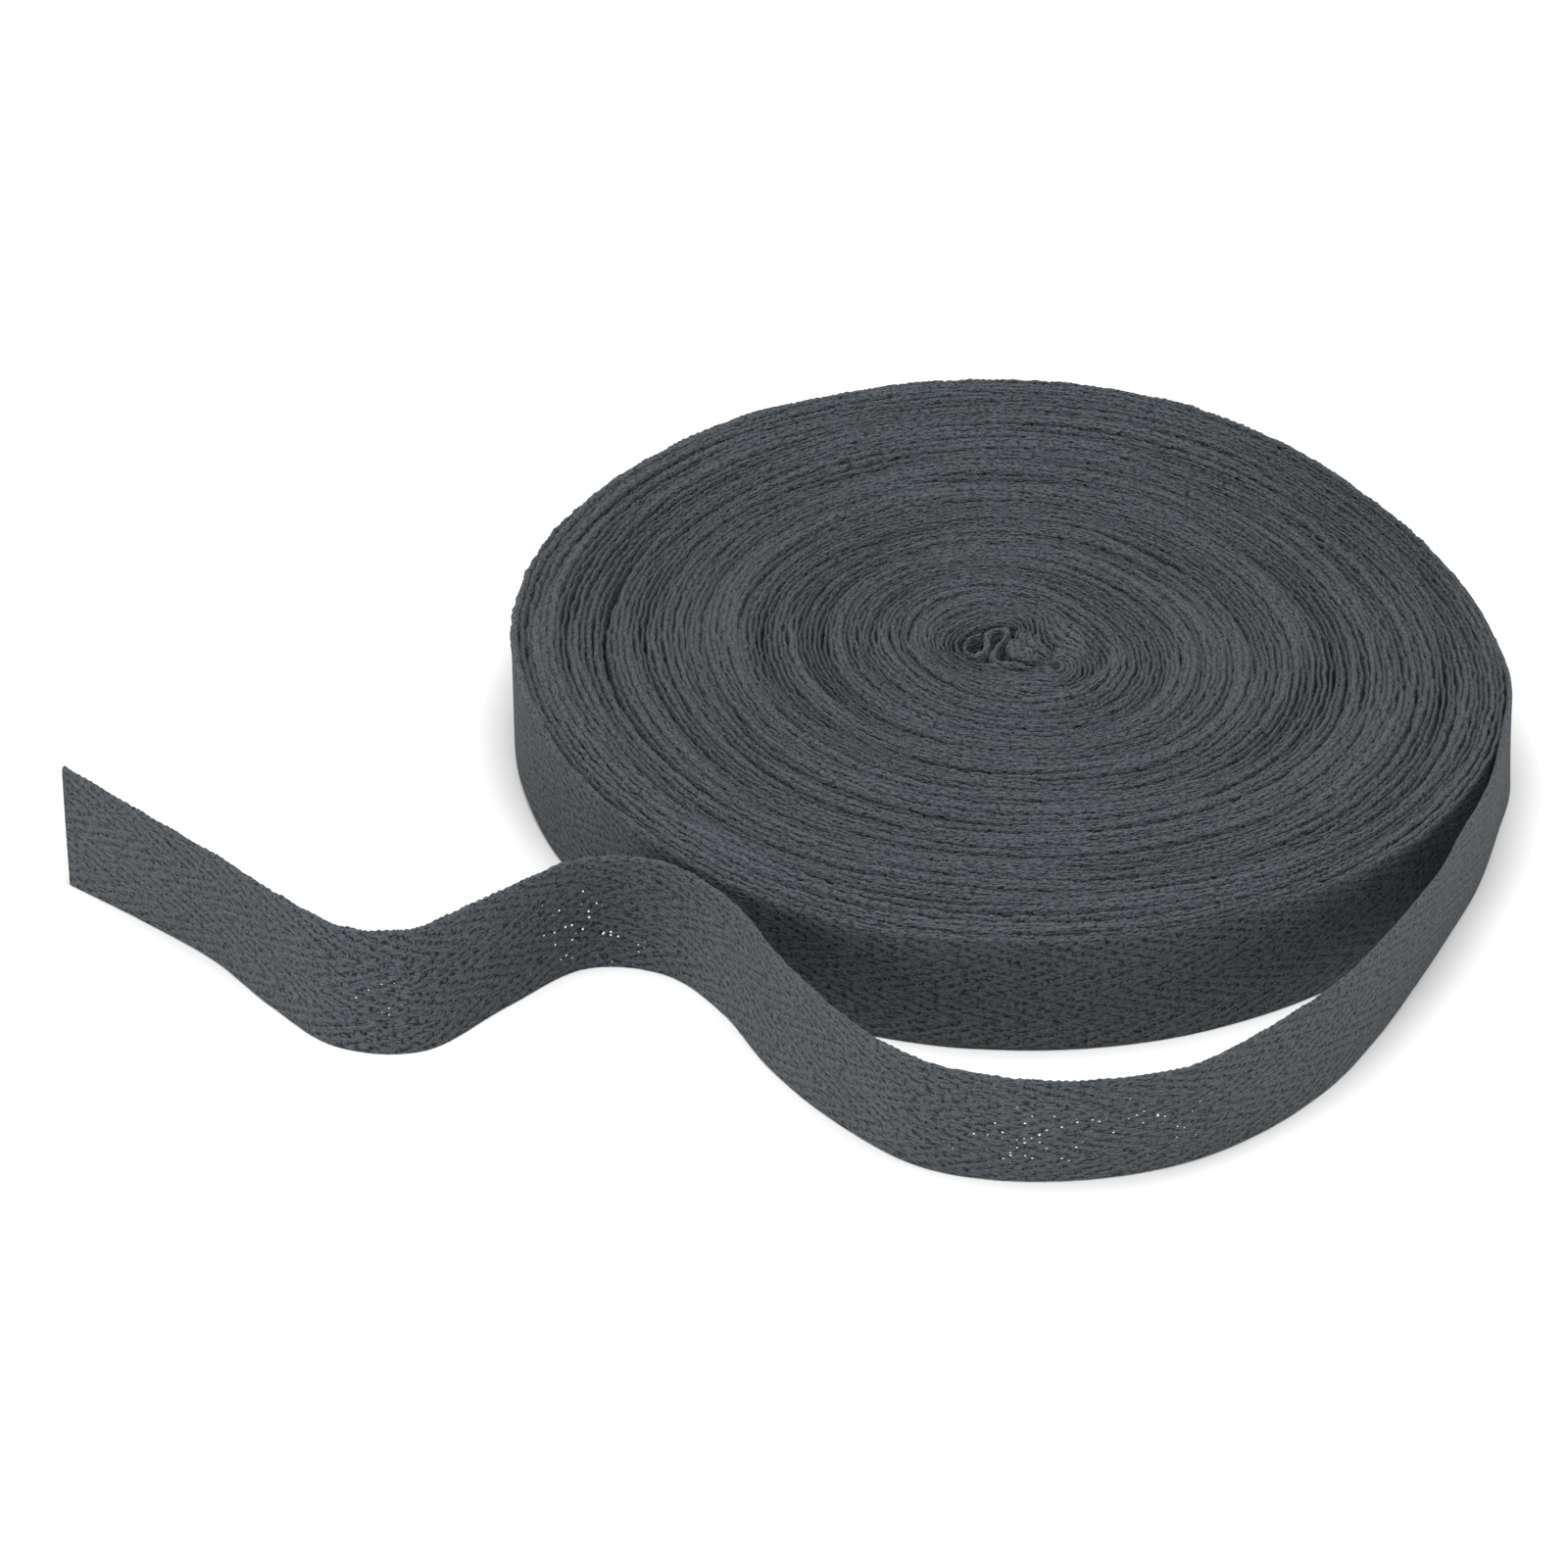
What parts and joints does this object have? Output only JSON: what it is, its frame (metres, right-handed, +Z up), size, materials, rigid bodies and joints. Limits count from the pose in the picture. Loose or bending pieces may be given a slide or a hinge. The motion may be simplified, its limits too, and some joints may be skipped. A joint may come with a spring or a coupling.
{
  "type": "roll of cotton twill tape",
  "caption": "Flat roll of grey cotton herringbone tape, wound on itself without a core, with its loose end standing on edge in a long wave in front.",
  "frame": {"origin": "under the middle of the roll, on the surface that it lies on", "axes": "+Z up along the axis of the winding, -Y towards the front where the loose end passes, +X towards the side where it leaves the roll"},
  "size_m": [0.2211, 0.1913, 0.0223],
  "materials": {
    "cotton": "matt woven cotton, slate grey, herringbone twill"
  },
  "bodies": {
    "root": {"roll": "cotton", "loose_end": "cotton"}
  },
  "joints": []
}
